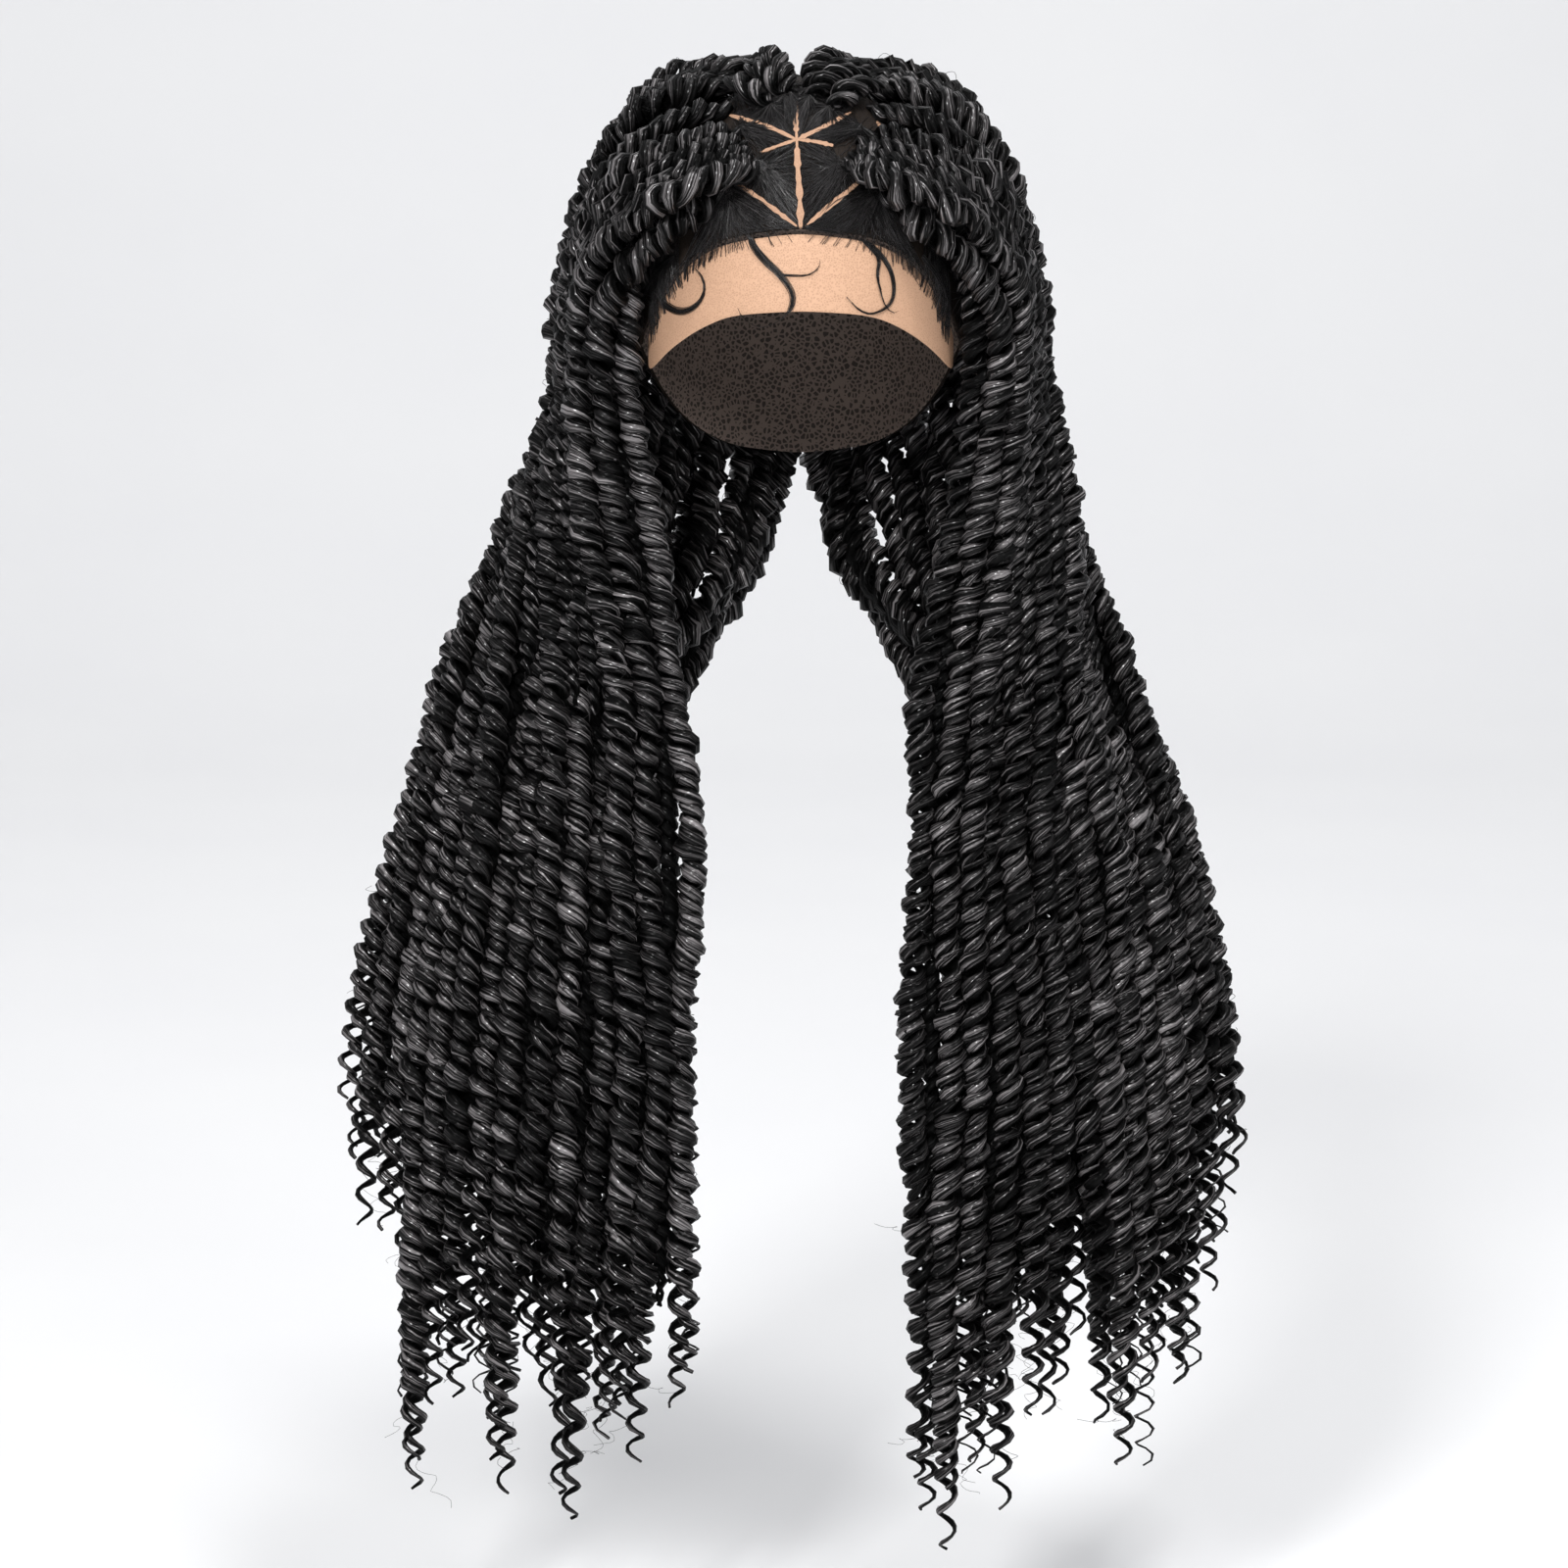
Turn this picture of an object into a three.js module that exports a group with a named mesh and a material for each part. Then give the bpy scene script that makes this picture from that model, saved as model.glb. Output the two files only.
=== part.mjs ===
// A wig of two-strand hair twists on a lace cap, in the shape it has when it is worn.
// Millimetres. +Z is up, the face opening looks along -Y, +X is the wearer's left.
// The origin is the inside of the cap at the crown, where the head ends.
import * as THREE from 'three';

// The hollow for the head: an ellipsoid down to its widest level, narrower towards the nape.
const headHalfWidth = 77;
const headHalfDepth = 98;
const crownHeight = 116;
const napeDrop = 70;
const napeNarrowing = 0.14;

// The cap, the hair tied flat on it, and the gap that neighbouring pieces keep.
const capWall = 1;
const hairBedDepth = 2;
const seam = 0.3;

// One twist: thin at its root, even along its length, looser and thinner in its curly end.
const rootRadius = 3.2;
const twistRadius = 5.6;
const curlRadius = 4.7;
const rootLead = 7;
const rootTaper = 26;
const curlLength = 95;
const tipTaper = 22;
const twistClearance = 0.6;

// How the twists hang: in layers on the head, then as two curtains on the chest.
const layerStep = 12;
const hangDrop = 668;
const innerHalfGap = 53;
const curtainHalfWidth = 203;
const chestForward = 112;
const curtainBulge = 0.14;
const swayDepth = 3.5;
const swayLength = 160;
const frontCount = 14;
const targetPull = 0.03;
const bendPull = 0.12;

// Counts of facets and of rings, and where a long twist needs closer rings.
const capColumns = 28;
const capRows = 8;
const laceColumns = 10;
const laceRows = 3;
const twistSides = 6;
const headRingStep = 30;
const shoulderRingStep = 46;
const hangRingStep = 84;

// The rim, one row per azimuth in degrees from the middle of the forehead. Both lengths are
// drops below the crown as shares of crownHeight: the hairline, and the edge of the bare lace.
const rimRows = [
  { azimuth: 0, hairline: 0.545, lace: 0.85 },
  { azimuth: 25, hairline: 0.58, lace: 0.87 },
  { azimuth: 40, hairline: 0.64, lace: 0.95 },
  { azimuth: 58, hairline: 0.82, lace: 1.07 },
  { azimuth: 70, hairline: 1.07, lace: 1.18 },
  { azimuth: 82, hairline: 1.09, lace: 1.18 },
  { azimuth: 92, hairline: 1.0, lace: 1.18 },
  { azimuth: 104, hairline: 1.02, lace: 1.18 },
  { azimuth: 116, hairline: 1.2, lace: 1.27 },
  { azimuth: 132, hairline: 1.4, lace: 1.45 },
  { azimuth: 150, hairline: 1.51, lace: 1.54 },
  { azimuth: 180, hairline: 1.55, lace: 1.63 },
];

// The crown's twists: where each is rooted, by azimuth and by share of the way from the crown
// to the head's widest level, the azimuth at which it hangs down, the layer that it hangs in,
// the share of its way over the head at which it has risen there, and how far it stands up on
// the way as a share of layerStep.
const crownRoots = [
  { azimuth: 31, polar: 0.6, hangAzimuth: 62, layer: 0.9, rise: 0.7, lift: 0 },
  { azimuth: 18, polar: 0.53, hangAzimuth: 66, layer: 1.7, rise: 0.4, lift: 0.1 },
  { azimuth: 34, polar: 0.41, hangAzimuth: 78, layer: 1.75, rise: 0.45, lift: 0.1 },
  { azimuth: 88, polar: 0.24, hangAzimuth: 91, layer: 1.75, rise: 0.45, lift: 0.1 },
  { azimuth: 118, polar: 0.17, hangAzimuth: 103, layer: 1.8, rise: 0.4, lift: 0.3 },
  { azimuth: 150, polar: 0.08, hangAzimuth: 124, layer: 1.9, rise: 0.7, lift: 0.2 },
  { azimuth: 164, polar: 0.26, hangAzimuth: 160, layer: 1.9, rise: 0.9, lift: 0 },
];

// The share of its way over the head at which a twist that stands up lies down again.
const liftEnd = 0.6;

// The rows below, evenly spread: azimuths of the first and last twist, the roots' share of the
// way from the crown to the rim, and the layer in which they hang.
const evenRows = [
  { count: 6, firstAzimuth: 72, lastAzimuth: 172, rootShare: 0.36, layer: 1.4 },
  { count: 7, firstAzimuth: 61, lastAzimuth: 165, rootShare: 0.59, layer: 0.8 },
  { count: 8, firstAzimuth: 70, lastAzimuth: 174, rootShare: 0.85, layer: 0 },
];

// Sections of the front curtain from the jaw down. drop is a share of hangDrop. Each side has
// the x of its inner edge, as a share of innerHalfGap, and of its outer edge, as a share of
// curtainHalfWidth. innerY and outerY are shares of chestForward (towards the face), and spread
// is how far the layers still lie apart, as a share of layerStep.
const frontSections = [
  { drop: 0.297, left: [1.4, 0.59], right: [1.4, 0.63], innerY: 0.56, outerY: -0.16, spread: 0.75 },
  { drop: 0.402, left: [1.14, 0.72], right: [1.14, 0.78], innerY: 0.72, outerY: 0.02, spread: 0.4 },
  { drop: 0.508, left: [1.02, 0.86], right: [1.02, 0.9], innerY: 0.85, outerY: 0.22, spread: 0.1 },
  { drop: 0.642, left: [1, 0.97], right: [1, 0.98], innerY: 0.94, outerY: 0.41, spread: 0 },
  { drop: 0.797, left: [1.01, 1.03], right: [1.08, 1.03], innerY: 0.98, outerY: 0.54, spread: 0 },
  { drop: 1, left: [1.05, 1.04], right: [1.2, 1.04], innerY: 1, outerY: 0.6, spread: 0 },
];

// Sections of the twists from the back of the head, which come forward over the shoulder and
// hang behind the front curtain. The columns are those above.
const backSections = [
  { drop: 0.345, left: [0.45, 0.56], right: [0.45, 0.56], innerY: -0.78, outerY: -0.36, spread: 0.8 },
  { drop: 0.441, left: [1.1, 0.76], right: [1.1, 0.78], innerY: -0.24, outerY: -0.12, spread: 0.6 },
  { drop: 0.537, left: [1.2, 0.87], right: [1.2, 0.9], innerY: 0.36, outerY: 0.06, spread: 0.3 },
  { drop: 0.642, left: [1.15, 0.94], right: [1.15, 0.94], innerY: 0.74, outerY: 0.25, spread: 0 },
  { drop: 0.797, left: [1.1, 0.98], right: [1.2, 0.98], innerY: 0.84, outerY: 0.4, spread: 0 },
  { drop: 1, left: [1.15, 0.99], right: [1.3, 0.99], innerY: 0.86, outerY: 0.46, spread: 0 },
];

// Where the twists end, in order from the inner edge of a curtain to its outer edge, as shares
// of hangDrop.
const tipDrops = {
  left: [0.975, 1, 0.94, 0.97, 0.905, 0.885, 0.89, 0.945, 0.89, 0.88, 0.865, 0.83, 0.77, 0.745],
  right: [0.9, 0.94, 0.91, 0.98, 0.89, 0.87, 0.96, 0.87, 0.9, 0.905, 0.97, 0.79, 0.79, 0.74],
  behind: [0.87, 0.93, 0.89, 0.85, 0.91, 0.86, 0.92, 0.88, 0.84, 0.87, 0.9, 0.82, 0.78, 0.75],
};

const bedOffset = capWall + seam;
const scalpOffset = bedOffset + hairBedDepth;
const sides = [
  { name: 'left', sign: 1, seed: 13 },
  { name: 'right', sign: -1, seed: 31 },
];

const hairMaterial = { color: 0x17151a, roughness: 0.45, metalness: 0 };
const scalpMaterial = { color: 0x1c181a, roughness: 0.55, metalness: 0 };
const laceMaterial = { color: 0xb88a6a, roughness: 0.85, metalness: 0 };
const capMaterial = { color: 0x2a211d, roughness: 0.9, metalness: 0 };

function lerp(a, b, share) {
  return a + (b - a) * share;
}

function smooth(share) {
  const s = Math.min(1, Math.max(0, share));
  return s * s * (3 - 2 * s);
}

// A repeatable run of numbers between 0 and 1.
function numberRun(seed) {
  let state = seed * 2654435761 % 4294967296;
  return () => {
    state = (state * 1664525 + 1013904223) % 4294967296;
    return state / 4294967296;
  };
}

function rimDrop(azimuth, column) {
  const angle = Math.min(180, Math.abs(azimuth));
  const next = rimRows.findIndex((row) => row.azimuth >= angle);
  if (next <= 0) return rimRows[0][column] * crownHeight;
  const before = rimRows[next - 1];
  const after = rimRows[next];
  const share = (angle - before.azimuth) / (after.azimuth - before.azimuth);
  return lerp(before[column], after[column], share) * crownHeight;
}

// The share at which the head's surface is a given drop below the crown: 0 at the crown,
// 1 at the widest level, and past 1 straight down from there.
function shareAtDrop(drop) {
  if (drop > crownHeight) return drop / crownHeight;
  return Math.acos(1 - drop / crownHeight) / (Math.PI / 2);
}

function narrowing(dropBelowWidest) {
  const share = Math.min(1.2, dropBelowWidest / napeDrop);
  return 1 - napeNarrowing * share * share;
}

// A point at a distance outside the head. The azimuth is in degrees, 0 at the forehead and
// 90 at the wearer's left ear.
function headPoint(azimuth, share, offset) {
  const angle = THREE.MathUtils.degToRad(azimuth);
  const polar = Math.min(share, 1) * Math.PI / 2;
  const below = Math.max(0, share - 1) * crownHeight;
  const level = Math.sin(polar);
  const tuck = narrowing(below);
  return new THREE.Vector3(
    (headHalfWidth * tuck + offset) * level * Math.sin(angle),
    -(headHalfDepth * tuck + offset) * level * Math.cos(angle),
    (crownHeight + offset) * Math.cos(polar) - crownHeight - below,
  );
}

function outwardAt(azimuth, share) {
  const near = headPoint(azimuth, share, 0);
  const far = headPoint(azimuth, share, 1);
  return far.sub(near).normalize();
}

function meshOf(name, vertices, triangles, material) {
  const geometry = new THREE.BufferGeometry();
  const values = vertices.flatMap((vertex) => vertex.toArray());
  geometry.setAttribute('position', new THREE.Float32BufferAttribute(values, 3));
  geometry.setIndex(triangles);
  geometry.computeVertexNormals();
  const mesh = new THREE.Mesh(geometry, new THREE.MeshStandardMaterial(material));
  mesh.name = name;
  return mesh;
}

function capVertex(column, row, offset) {
  const azimuth = column * 360 / capColumns;
  const turned = azimuth > 180 ? azimuth - 360 : azimuth;
  const share = shareAtDrop(rimDrop(turned, 'hairline')) * row / capRows;
  return headPoint(turned, share, offset);
}

// A dome of even thickness from the crown to the rim: an outer and an inner skin that share
// one grid, joined along the rim. Its two halves mirror each other.
function domeShell(name, innerOffset, outerOffset, material) {
  const vertices = [];
  const triangles = [];
  const skins = [innerOffset, outerOffset].map((offset) => {
    const first = vertices.length;
    vertices.push(headPoint(0, 0, offset));
    for (let row = 1; row <= capRows; row += 1) {
      for (let column = 0; column < capColumns; column += 1) {
        vertices.push(capVertex(column, row, offset));
      }
    }
    return first;
  });
  const at = (skin, row, column) => (
    row === 0 ? skins[skin] : skins[skin] + 1 + (row - 1) * capColumns + column % capColumns
  );
  for (let column = 0; column < capColumns; column += 1) {
    for (let row = 0; row < capRows; row += 1) {
      for (const skin of [0, 1]) {
        const corners = [
          at(skin, row, column),
          at(skin, row, column + 1),
          at(skin, row + 1, column + 1),
          at(skin, row + 1, column),
        ];
        const rightHalf = column >= capColumns / 2;
        if (rightHalf && row > 0) corners.push(corners.shift());
        pushQuad(triangles, corners, skin === 1, row === 0);
      }
    }
    const rim = [
      at(0, capRows, column),
      at(0, capRows, column + 1),
      at(1, capRows, column + 1),
      at(1, capRows, column),
    ];
    pushQuad(triangles, rim, false, false);
  }
  return meshOf(name, vertices, triangles, material);
}

// Two triangles, or one where the first two corners are the same point.
function pushQuad(triangles, corners, flipped, pointed) {
  const [a, b, c, d] = corners;
  const pair = pointed ? [[a, c, d]] : [[a, b, c], [a, c, d]];
  for (const [p, q, r] of pair) {
    triangles.push(...(flipped ? [p, r, q] : [p, q, r]));
  }
}

// The strip of bare lace: a curved sheet from the hairline down to the lace's own edge.
function laceStrip(name, material) {
  const vertices = [];
  const triangles = [];
  const step = 360 / capColumns;
  const grid = [0, capWall].map((offset) => {
    const rows = [];
    for (let row = 0; row <= laceRows; row += 1) {
      const line = [];
      for (let column = 0; column <= laceColumns; column += 1) {
        const azimuth = (column - laceColumns / 2) * step;
        const top = shareAtDrop(rimDrop(azimuth, 'hairline') + seam * 1.5);
        const edge = shareAtDrop(rimDrop(azimuth, 'lace'));
        line.push(vertices.length);
        vertices.push(headPoint(azimuth, lerp(top, edge, row / laceRows), offset));
      }
      rows.push(line);
    }
    return rows;
  });
  for (let row = 0; row < laceRows; row += 1) {
    for (let column = 0; column < laceColumns; column += 1) {
      grid.forEach((rows, skin) => {
        const corners = [
          rows[row][column],
          rows[row][column + 1],
          rows[row + 1][column + 1],
          rows[row + 1][column],
        ];
        pushQuad(triangles, corners, skin === 1, false);
      });
    }
  }
  const border = (rowA, columnA, rowB, columnB) => {
    const corners = [
      grid[0][rowA][columnA],
      grid[1][rowA][columnA],
      grid[1][rowB][columnB],
      grid[0][rowB][columnB],
    ];
    pushQuad(triangles, corners, false, false);
  };
  for (let column = 0; column < laceColumns; column += 1) {
    border(0, column, 0, column + 1);
    border(laceRows, column + 1, laceRows, column);
  }
  for (let row = 0; row < laceRows; row += 1) {
    border(row + 1, 0, row, 0);
    border(row, laceColumns, row + 1, laceColumns);
  }
  return meshOf(name, vertices, triangles, material);
}

// The point of the scalp hair's faceted outer skin at an azimuth and a share of the way
// from the crown to the rim.
function bedPoint(azimuth, rimShare) {
  const u = azimuth * capColumns / 360;
  const v = rimShare * capRows;
  const column = Math.floor(u);
  const row = Math.floor(v);
  const fu = u - column;
  const fv = v - row;
  const near = capVertex(column, row, scalpOffset);
  const far = capVertex(column + 1, row + 1, scalpOffset);
  const corner = fu > fv
    ? capVertex(column + 1, row, scalpOffset)
    : capVertex(column, row + 1, scalpOffset);
  const [first, second] = fu > fv ? [fu, fv] : [fv, fu];
  const point = near.clone();
  point.addScaledVector(corner.clone().sub(near), first);
  point.addScaledVector(far.clone().sub(corner), second);
  return point;
}

// All twists of one side: their roots and where they hang, sorted from the face to the nape.
function twistPlans() {
  const plans = crownRoots.map((root) => ({ ...root }));
  for (const row of evenRows) {
    for (let index = 0; index < row.count; index += 1) {
      const azimuth = lerp(row.firstAzimuth, row.lastAzimuth, index / (row.count - 1));
      const rim = shareAtDrop(rimDrop(azimuth, 'hairline'));
      const polar = rim * row.rootShare;
      const { layer } = row;
      plans.push({ azimuth, polar, hangAzimuth: azimuth, layer, rise: 1, lift: 0 });
    }
  }
  plans.sort((a, b) => a.hangAzimuth - b.hangAzimuth || b.layer - a.layer);
  plans.forEach((plan, index) => {
    plan.front = index < frontCount;
    plan.place = plan.front ? index : plans.length - 1 - index;
    plan.behindCount = plans.length - frontCount;
  });
  return plans;
}

// A point in a curtain's section: a bowed line from its inner to its outer edge, shifted
// outwards for the twists that still lie in an upper layer.
function sectionPoint(section, sideName, across, layer) {
  const [innerX, outerX] = section[sideName];
  const inner = new THREE.Vector2(innerX * innerHalfGap, -section.innerY * chestForward);
  const outer = new THREE.Vector2(outerX * curtainHalfWidth, -section.outerY * chestForward);
  const chord = outer.clone().sub(inner);
  const outward = new THREE.Vector2(chord.y, -chord.x).normalize();
  const bow = curtainBulge * chord.length() * 4 * across * (1 - across);
  const shift = bow + (layer - 1) * section.spread * layerStep;
  const flat = inner.addScaledVector(chord, across).addScaledVector(outward, shift);
  return new THREE.Vector3(flat.x, flat.y, -section.drop * hangDrop);
}

// The line that a twist would follow if it hung alone, root first.
function freeLine(plan, side, run) {
  const outside = scalpOffset + twistRadius + twistClearance + plan.layer * layerStep;
  const points = [];
  const steps = 6;
  for (let step = 1; step <= steps; step += 1) {
    const share = step / steps;
    const azimuth = lerp(plan.azimuth, plan.hangAzimuth, smooth(share * 1.4));
    const polar = lerp(plan.polar, Math.max(1.12, plan.polar + 0.12), share ** 1.15);
    const bump = plan.lift * layerStep * Math.sin(Math.PI * Math.min(1, share / liftEnd));
    const lying = scalpOffset + twistRadius + twistClearance;
    const height = lerp(lying, outside, smooth(share / plan.rise));
    points.push(headPoint(azimuth, polar, height + bump));
  }
  const across = plan.front
    ? plan.place / (frontCount - 1)
    : (plan.place + 1) / (plan.behindCount + 0.3);
  const tips = plan.front ? tipDrops[side.name] : tipDrops.behind;
  const tipDrop = tips[plan.place % tips.length] * hangDrop;
  const phase = run() * Math.PI * 2;
  for (const section of plan.front ? frontSections : backSections) {
    const point = sectionPoint(section, side.name, across, plan.layer);
    const sway = swayDepth * Math.sin(phase + point.z * 2 * Math.PI / swayLength);
    point.x += sway;
    point.y += sway * 0.6;
    points.push(point);
  }
  const rimShare = plan.polar / shareAtDrop(rimDrop(plan.azimuth, 'hairline'));
  const outward = outwardAt(plan.azimuth, plan.polar);
  const root = bedPoint(plan.azimuth, rimShare).addScaledVector(outward, seam * 1.2);
  const towards = points[0].clone().sub(root);
  towards.addScaledVector(outward, -towards.dot(outward)).normalize();
  const height = rootRadius + seam * 3;
  const first = root.clone().addScaledVector(outward, height);
  first.addScaledVector(towards, Math.sqrt(rootLead ** 2 - height ** 2));
  return cutAtDrop([root, first, ...points], tipDrop);
}

// A smooth curve through the points, ended where it has dropped far enough.
function cutAtDrop(points, drop) {
  const curve = new THREE.CatmullRomCurve3(points, false, 'centripetal');
  const samples = curve.getSpacedPoints(300);
  const end = samples.findIndex((point) => point.z < -drop);
  return end < 0 ? samples : samples.slice(0, end);
}

// Rings along a line: one at the root's lead, then at steps that follow how much it bends.
function ringPath(samples) {
  const lengths = [0];
  for (let i = 1; i < samples.length; i += 1) {
    lengths.push(lengths[i - 1] + samples[i].distanceTo(samples[i - 1]));
  }
  const total = lengths[lengths.length - 1];
  const places = [0, rootLead, rootTaper];
  const curlStart = total - curlLength;
  const shoulderDrop = hangDrop * 0.62;
  while (places[places.length - 1] < curlStart) {
    const at = places[places.length - 1];
    const z = samples[lengths.findIndex((length) => length >= at)].z;
    const onHead = z > -crownHeight * 1.15;
    const step = onHead ? headRingStep : z > -shoulderDrop ? shoulderRingStep : hangRingStep;
    places.push(at + step);
  }
  places.pop();
  if (curlStart - places[places.length - 1] < headRingStep) places.pop();
  places.push(curlStart, total - curlLength / 2, total - tipTaper, total);
  return places.map((place) => {
    const index = Math.max(1, lengths.findIndex((length) => length >= place - 1e-6));
    const share = (place - lengths[index - 1]) / (lengths[index] - lengths[index - 1]);
    const point = samples[index - 1].clone().lerp(samples[index], share);
    return { point, target: point.clone(), radius: radiusAt(place, total) };
  });
}

function radiusAt(place, total) {
  const fromTip = total - place;
  if (place === 0 || fromTip < 1) return 0;
  const body = lerp(rootRadius, twistRadius, smooth((place - rootLead) / (rootTaper - rootLead)));
  const curl = lerp(curlRadius, twistRadius, smooth((fromTip - tipTaper) / curlLength));
  return Math.min(body, curl);
}

// Shares along two segments of the points where they are nearest to each other.
function nearestShares(a, b, c, d) {
  const u = b.clone().sub(a);
  const v = d.clone().sub(c);
  const w = a.clone().sub(c);
  const uu = u.dot(u);
  const vv = v.dot(v);
  const uv = u.dot(v);
  const uw = u.dot(w);
  const vw = v.dot(w);
  const limit = THREE.MathUtils.clamp;
  const flat = uu * vv - uv * uv;
  let s = flat > 1e-9 ? limit((uv * vw - vv * uw) / flat, 0, 1) : 0.5;
  const t = limit((uv * s + vw) / vv, 0, 1);
  s = limit((uv * t - uw) / uu, 0, 1);
  return [s, t];
}

// Moves the two ends of a segment so that the point at a share of it moves by the shift.
function moveSegment(path, index, share, shift) {
  const weights = [1 - share, share].map((weight, end) => (index + end < 2 ? 0 : weight));
  const sum = weights[0] ** 2 + weights[1] ** 2;
  if (sum < 1e-6) return;
  path[index].point.addScaledVector(shift, weights[0] / sum);
  path[index + 1].point.addScaledVector(shift, weights[1] / sum);
}

// Pushes two twists apart where they are closer than their radii and the clearance.
function pushApart(pathA, pathB, fullness) {
  let moved = 0;
  for (let i = 0; i + 1 < pathA.length; i += 1) {
    const a = pathA[i];
    const b = pathA[i + 1];
    const reachA = a.point.distanceTo(b.point) / 2;
    const middleA = a.point.clone().lerp(b.point, 0.5);
    for (let j = 0; j + 1 < pathB.length; j += 1) {
      const c = pathB[j];
      const d = pathB[j + 1];
      const thickness = Math.max(a.radius, b.radius) + Math.max(c.radius, d.radius);
      const need = thickness * fullness + twistClearance;
      const reachB = c.point.distanceTo(d.point) / 2;
      const middleB = c.point.clone().lerp(d.point, 0.5);
      if (middleA.distanceTo(middleB) > reachA + reachB + need) continue;
      const [s, t] = nearestShares(a.point, b.point, c.point, d.point);
      const gap = a.point.clone().lerp(b.point, s).sub(c.point.clone().lerp(d.point, t));
      const distance = gap.length();
      if (distance >= need) continue;
      const direction = distance > 1e-3 ? gap.divideScalar(distance) : new THREE.Vector3(1, 0, 0);
      const shift = (need - distance) * 0.5;
      moveSegment(pathA, i, s, direction.clone().multiplyScalar(shift));
      moveSegment(pathB, j, t, direction.clone().multiplyScalar(-shift));
      moved = Math.max(moved, need - distance);
    }
  }
  return moved;
}

// The move that takes a point out to a given distance from the head, or null.
function clearHead(point, distance) {
  const below = Math.max(0, -point.z - crownHeight);
  if (below > napeDrop * 1.2) return null;
  const tuck = narrowing(below);
  const width = headHalfWidth * tuck + distance;
  const depth = headHalfDepth * tuck + distance;
  const height = crownHeight + distance;
  const up = Math.max(0, point.z + crownHeight) / height;
  const depthShare = Math.hypot(point.x / width, point.y / depth, up);
  if (depthShare >= 1) return null;
  const out = new THREE.Vector3(point.x, point.y, up * height);
  return out.multiplyScalar(1 / depthShare - 1);
}

function pushOffHead(path) {
  for (let i = 1; i + 1 < path.length; i += 1) {
    for (const share of [0.25, 0.5, 0.75, 1]) {
      const radius = lerp(path[i].radius, path[i + 1].radius, share);
      const place = path[i].point.clone().lerp(path[i + 1].point, share);
      const move = clearHead(place, scalpOffset + radius + twistClearance);
      if (move) moveSegment(path, i, share, move);
    }
  }
}

// Lets the twists of one side settle beside each other. They start thin and swell to their
// full thickness, so that none is caught between two others.
function settle(paths, sign) {
  const rounds = 320;
  const swelling = 160;
  const loose = 220;
  for (let round = 0; round < rounds; round += 1) {
    const fullness = Math.min(1, 0.3 + 0.7 * round / swelling);
    for (const path of paths) {
      if (round < loose) relax(path);
      pushOffHead(path);
    }
    let moved = 0;
    for (let i = 0; i < paths.length; i += 1) {
      for (let j = i + 1; j < paths.length; j += 1) {
        moved = Math.max(moved, pushApart(paths[i], paths[j], fullness));
      }
    }
    for (const path of paths) keepOnSide(path, sign);
    if (round > loose && moved < 0.02) break;
  }
}

// Draws a twist gently back to where it would hang alone, and straightens its bends.
function relax(path) {
  for (let i = 2; i + 1 < path.length; i += 1) {
    const back = path[i].target.clone().sub(path[i].point);
    path[i].point.addScaledVector(back, targetPull);
    const before = path[i].point.clone().sub(path[i - 1].point);
    const after = path[i + 1].point.clone().sub(path[i].point);
    const share = before.length() / (before.length() + after.length());
    const straight = path[i - 1].point.clone().lerp(path[i + 1].point, share);
    const held = path[i - 1].target.clone().lerp(path[i + 1].target, share);
    const bend = straight.sub(path[i].point).sub(held.sub(path[i].target));
    path[i].point.addScaledVector(bend, bendPull);
  }
}

function keepOnSide(path, sign) {
  for (const ring of path) {
    const least = ring.radius + twistClearance / 2;
    if (ring.point.x * sign < least) ring.point.x = least * sign;
  }
}

// A closed body through rings of one number of sides, with a point at each end.
function tubeBody(name, path, material) {
  const vertices = [path[0].point.clone()];
  const triangles = [];
  const last = path.length - 1;
  let across = new THREE.Vector3(0, 1, 0);
  for (let i = 1; i < last; i += 1) {
    const along = path[i + 1].point.clone().sub(path[i].point).normalize();
    along.add(path[i].point.clone().sub(path[i - 1].point).normalize()).normalize();
    across = across.clone().addScaledVector(along, -across.dot(along)).normalize();
    const other = along.clone().cross(across);
    for (let k = 0; k < twistSides; k += 1) {
      const angle = k * 2 * Math.PI / twistSides;
      const vertex = path[i].point.clone();
      vertex.addScaledVector(across, path[i].radius * Math.cos(angle));
      vertex.addScaledVector(other, path[i].radius * Math.sin(angle));
      vertices.push(vertex);
    }
  }
  vertices.push(path[last].point.clone());
  const at = (ring, k) => 1 + (ring - 1) * twistSides + k % twistSides;
  for (let k = 0; k < twistSides; k += 1) {
    triangles.push(0, at(1, k + 1), at(1, k));
    triangles.push(vertices.length - 1, at(last - 1, k), at(last - 1, k + 1));
    for (let ring = 1; ring + 1 < last; ring += 1) {
      const corners = [at(ring, k), at(ring, k + 1), at(ring + 1, k + 1), at(ring + 1, k)];
      pushQuad(triangles, corners, false, false);
    }
  }
  return meshOf(name, vertices, triangles, material);
}

function twistsOf(side) {
  const run = numberRun(side.seed);
  const paths = twistPlans().map((plan) => {
    const path = ringPath(freeLine(plan, side, run));
    for (const ring of path) {
      ring.point.x *= side.sign;
      ring.target.x *= side.sign;
    }
    return path;
  });
  settle(paths, side.sign);
  return paths.map((path, index) => {
    const number = String(index + 1).padStart(2, '0');
    return tubeBody(`twist_${side.name}_${number}`, path, hairMaterial);
  });
}

const wig = new THREE.Group();
wig.add(domeShell('lace_cap', 0, capWall, capMaterial));
wig.add(laceStrip('lace_front', laceMaterial));
wig.add(domeShell('scalp_hair', bedOffset, scalpOffset, scalpMaterial));
for (const side of sides) {
  wig.add(...twistsOf(side));
}

export default wig;
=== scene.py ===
import math
import random

import bmesh
import bpy
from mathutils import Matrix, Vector, noise
from mathutils.bvhtree import BVHTree


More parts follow.
